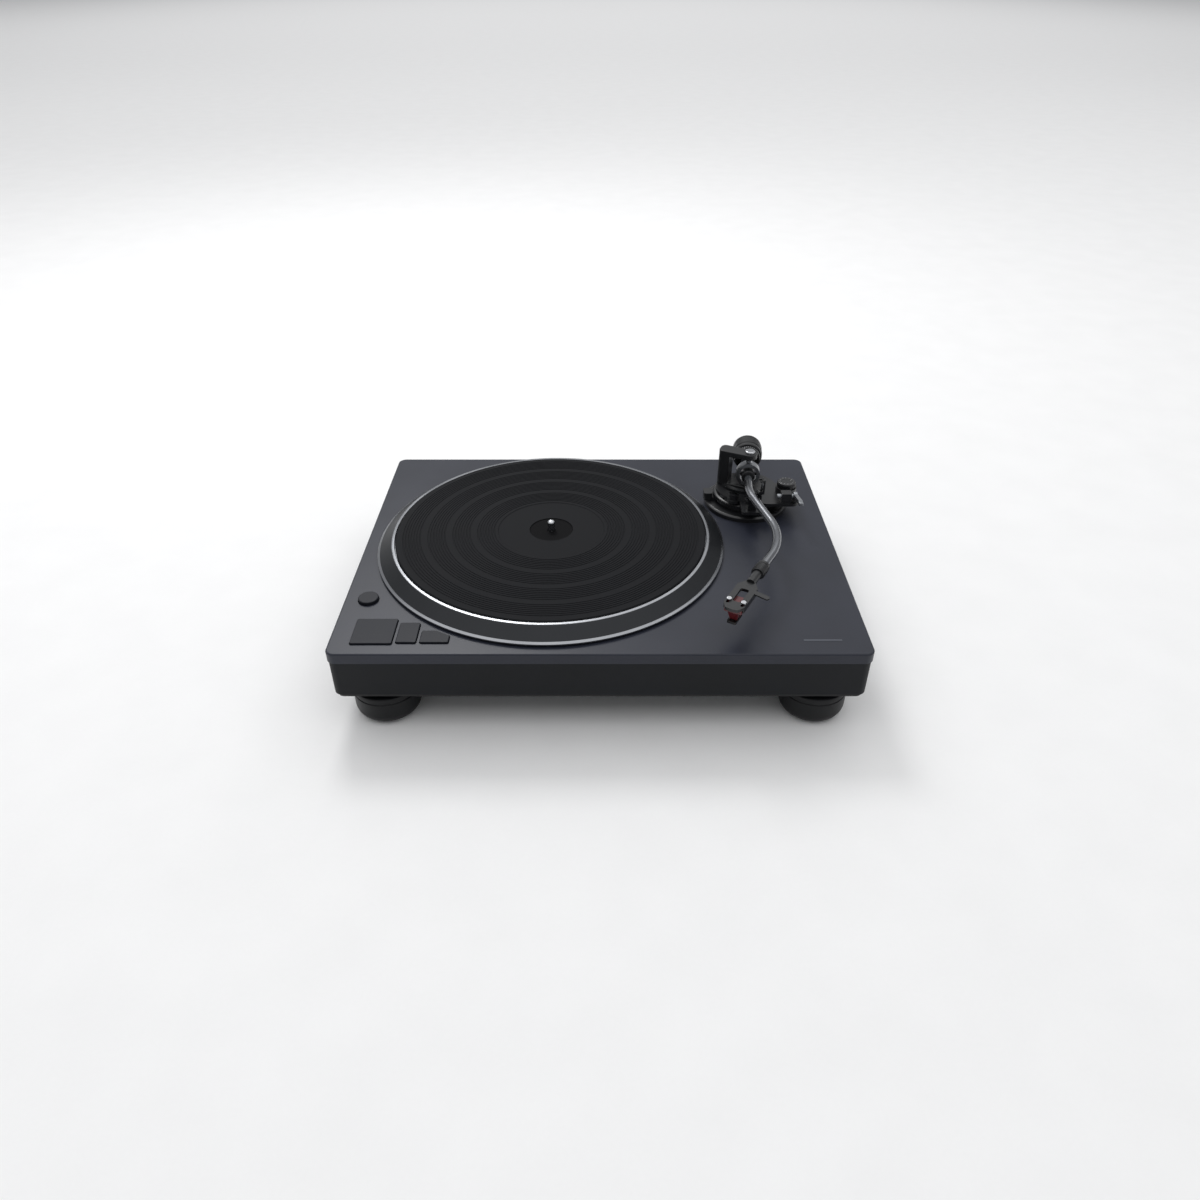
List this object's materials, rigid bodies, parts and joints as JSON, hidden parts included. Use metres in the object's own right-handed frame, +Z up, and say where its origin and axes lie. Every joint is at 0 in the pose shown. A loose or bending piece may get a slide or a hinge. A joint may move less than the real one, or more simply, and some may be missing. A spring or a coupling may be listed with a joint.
{
  "type": "turntable record player",
  "caption": "Direct-drive record player with a black plinth on round feet, a spinning platter with a rubber mat and an S-shaped tonearm with its adjustments.",
  "frame": {"origin": "on the floor, under the middle of the plinth", "axes": "+X to the player's right, +Y to its back, +Z up"},
  "size_m": [0.453, 0.35, 0.1425],
  "materials": {
    "chassis_paint": "satin stove enamel on cast aluminium",
    "cabinet_moulding": "moulded, fine texture",
    "cover_steel": "black powder coat",
    "foot_black": "moulded, matt",
    "platter_alloy": "turned, dark anodised, bright edges",
    "mat_rubber": "moulded, grooved",
    "steel_ground": "ground",
    "steel_zinc": "zinc plated",
    "magnet_ferrite": "sintered ferrite",
    "copper_coil": "enamelled copper",
    "bush_bronze": "sintered",
    "board_green": "glass epoxy, solder mask",
    "nylon_natural": "moulded",
    "button_black": "satin moulded",
    "strip_alloy": "brushed",
    "arm_alloy": "satin anodised",
    "arm_black": "satin black",
    "plastic_black": "moulded",
    "cartridge_red": "moulded",
    "jack_gold": "plated"
  },
  "bodies": {
    "plinth": {"cabinet": "cabinet_moulding", "bottom_cover": "cover_steel", "chassis": "chassis_paint", "trim_strip": "strip_alloy", "case_screws": "steel_zinc", "control_board": "board_green", "button_switches": "plastic_black", "motor_pan": "steel_zinc", "motor_screws": "steel_zinc", "stator_board": "board_green", "stator_coils": "copper_coil", "bearing_housing": "steel_zinc", "bearing_bushes": "bush_bronze", "thrust_ball": "steel_ground", "bearing_cap": "nylon_natural", "transformer": "steel_zinc", "power_board": "board_green", "phono_board": "board_green", "terminal_panel": "plastic_black", "phono_jacks": "jack_gold", "earth_post": "steel_zinc", "ac_inlet": "plastic_black", "arm_base": "arm_black"},
    "platter": {"platter": "platter_alloy", "mat": "mat_rubber", "spindle": "steel_ground", "rotor_yoke": "steel_zinc", "rotor_magnet": "magnet_ferrite"},
    "start_stop_button": {"start_stop_button": "button_black"},
    "speed_33_button": {"speed_33_button": "button_black"},
    "speed_45_button": {"speed_45_button": "button_black"},
    "power_button": {"power_button": "button_black"},
    "earth_knob": {"earth_knob": "jack_gold"},
    "equaliser_switch": {"equaliser_switch": "plastic_black"},
    "lock_lever": {"lock_lever": "arm_black"},
    "height_ring": {"height_ring": "arm_black"},
    "arm_column": {"arm_column": "arm_black", "gimbal_bracket": "arm_black", "pivot_screw": "steel_ground", "arm_rest": "plastic_black"},
    "anti_skate_dial": {"anti_skate_dial": "arm_black"},
    "cue_lever": {"cue_lever": "arm_alloy"},
    "lifter": {"lifter": "plastic_black"},
    "arm_clamp": {"arm_clamp": "plastic_black"},
    "gimbal_ring": {"gimbal_ring": "arm_alloy"},
    "tonearm": {"pivot_block": "arm_alloy", "arm_tube": "arm_alloy", "tail_shaft": "arm_alloy"},
    "head_lock_nut": {"head_lock_nut": "arm_black"},
    "headshell": {"headshell": "arm_black", "cartridge": "cartridge_red", "cartridge_screws": "steel_ground", "stylus": "plastic_black"},
    "weight_sleeve": {"weight_sleeve": "arm_alloy"},
    "counterweight": {"counterweight": "arm_black"},
    "force_dial": {"force_dial": "plastic_black"},
    "foot_left_front": {"foot_left_front": "foot_black"},
    "foot_left_rear": {"foot_left_rear": "foot_black"},
    "foot_right_front": {"foot_right_front": "foot_black"},
    "foot_right_rear": {"foot_right_rear": "foot_black"}
  },
  "joints": [
    {"name": "platter_spin", "type": "hinge", "parent": "plinth", "child": "platter", "pos_m": [-0.047, 0, 0.09], "axis": [0, 0, 1], "continuous": true},
    {"name": "start_stop_press", "type": "slide", "parent": "plinth", "child": "start_stop_button", "axis": [0, 0, -1], "range_m": [0, 0.0014], "stiffness_N_per_m": 400, "springref_m": -0.002},
    {"name": "speed_33_press", "type": "slide", "parent": "plinth", "child": "speed_33_button", "axis": [0, 0, -1], "range_m": [0, 0.0014], "stiffness_N_per_m": 400, "springref_m": -0.002},
    {"name": "speed_45_press", "type": "slide", "parent": "plinth", "child": "speed_45_button", "axis": [0, 0, -1], "range_m": [0, 0.0014], "stiffness_N_per_m": 400, "springref_m": -0.002},
    {"name": "power_press", "type": "slide", "parent": "plinth", "child": "power_button", "axis": [0, 0, -1], "range_m": [0, 0.0014], "stiffness_N_per_m": 400, "springref_m": -0.002},
    {"name": "foot_left_front_screw", "type": "slide", "parent": "plinth", "child": "foot_left_front", "axis": [0, 0, -1], "range_m": [0, 0.005]},
    {"name": "foot_left_rear_screw", "type": "slide", "parent": "plinth", "child": "foot_left_rear", "axis": [0, 0, -1], "range_m": [0, 0.005]},
    {"name": "foot_right_front_screw", "type": "slide", "parent": "plinth", "child": "foot_right_front", "axis": [0, 0, -1], "range_m": [0, 0.005]},
    {"name": "foot_right_rear_screw", "type": "slide", "parent": "plinth", "child": "foot_right_rear", "axis": [0, 0, -1], "range_m": [0, 0.005]},
    {"name": "earth_knob_turn", "type": "hinge", "parent": "plinth", "child": "earth_knob", "pos_m": [0.052, 0.167, 0.052], "axis": [0, 1, 0], "range_deg": [0, 720]},
    {"name": "equaliser_slide", "type": "slide", "parent": "plinth", "child": "equaliser_switch", "axis": [0, 0, 1], "range_m": [0, 0.004]},
    {"name": "lock_lever_turn", "type": "hinge", "parent": "plinth", "child": "lock_lever", "pos_m": [0.151, 0.076, 0.09], "axis": [0, 0, 1], "range_deg": [0, 25]},
    {"name": "height_ring_turn", "type": "hinge", "parent": "plinth", "child": "height_ring", "pos_m": [0.151, 0.076, 0.095], "axis": [0, 0, 1], "range_deg": [0, 200]},
    {"name": "arm_column_rise", "type": "slide", "parent": "plinth", "child": "arm_column", "axis": [0, 0, 1], "range_m": [0, 0.006]},
    {"name": "anti_skate_turn", "type": "hinge", "parent": "arm_column", "child": "anti_skate_dial", "pos_m": [0.189, 0.064, 0.11], "axis": [0, 0, 1], "range_deg": [0, 270]},
    {"name": "cue_lever_turn", "type": "hinge", "parent": "arm_column", "child": "cue_lever", "pos_m": [0.19, 0.046, 0.107], "axis": [-1, 0, 0], "range_deg": [0, 55]},
    {"name": "lifter_rise", "type": "slide", "parent": "arm_column", "child": "lifter", "axis": [0, 0, 1], "range_m": [0, 0.0013]},
    {"name": "arm_clamp_turn", "type": "hinge", "parent": "arm_column", "child": "arm_clamp", "pos_m": [0.15595, 0.03152, 0.1196], "axis": [0.1994, -0.9799, 0], "range_deg": [0, 86]},
    {"name": "tonearm_swing", "type": "hinge", "parent": "arm_column", "child": "gimbal_ring", "pos_m": [0.151, 0.076, 0.117], "axis": [0, 0, -1], "range_deg": [0, 46]},
    {"name": "tonearm_lift", "type": "hinge", "parent": "gimbal_ring", "child": "tonearm", "pos_m": [0.151, 0.076, 0.117], "axis": [-0.9934, 0.1149, 0], "range_deg": [0, 2.6]},
    {"name": "head_lock_nut_turn", "type": "hinge", "parent": "tonearm", "child": "head_lock_nut", "pos_m": [0.13804, -0.10161, 0.117], "axis": [-0.4848, -0.8746, 0], "range_deg": [0, 60]},
    {"name": "headshell_pull", "type": "slide", "parent": "tonearm", "child": "headshell", "axis": [-0.4848, -0.8746, 0], "range_m": [0, 0.012]},
    {"name": "weight_sleeve_slide", "type": "slide", "parent": "tonearm", "child": "weight_sleeve", "axis": [0.1149, 0.9934, 0], "range_m": [-0.005, 0.006]},
    {"name": "counterweight_turn", "type": "hinge", "parent": "weight_sleeve", "child": "counterweight", "pos_m": [0.15652, 0.12368, 0.117], "axis": [0.1149, 0.9934, 0], "range_deg": [-600, 720]},
    {"name": "force_dial_turn", "type": "hinge", "parent": "weight_sleeve", "child": "force_dial", "pos_m": [0.15479, 0.10878, 0.117], "axis": [0.1149, 0.9934, 0], "continuous": true}
  ],
  "couplings": [
    {"joint": "height_ring_turn", "follows": "arm_column_rise", "rad_per_m": 581.77},
    {"joint": "cue_lever_turn", "follows": "lifter_rise", "rad_per_m": 738.4},
    {"joint": "tonearm_lift", "follows": "lifter_rise", "rad_per_m": 34.9},
    {"joint": "weight_sleeve_slide", "follows": "counterweight_turn", "m_per_rad": 0.00047742}
  ]
}
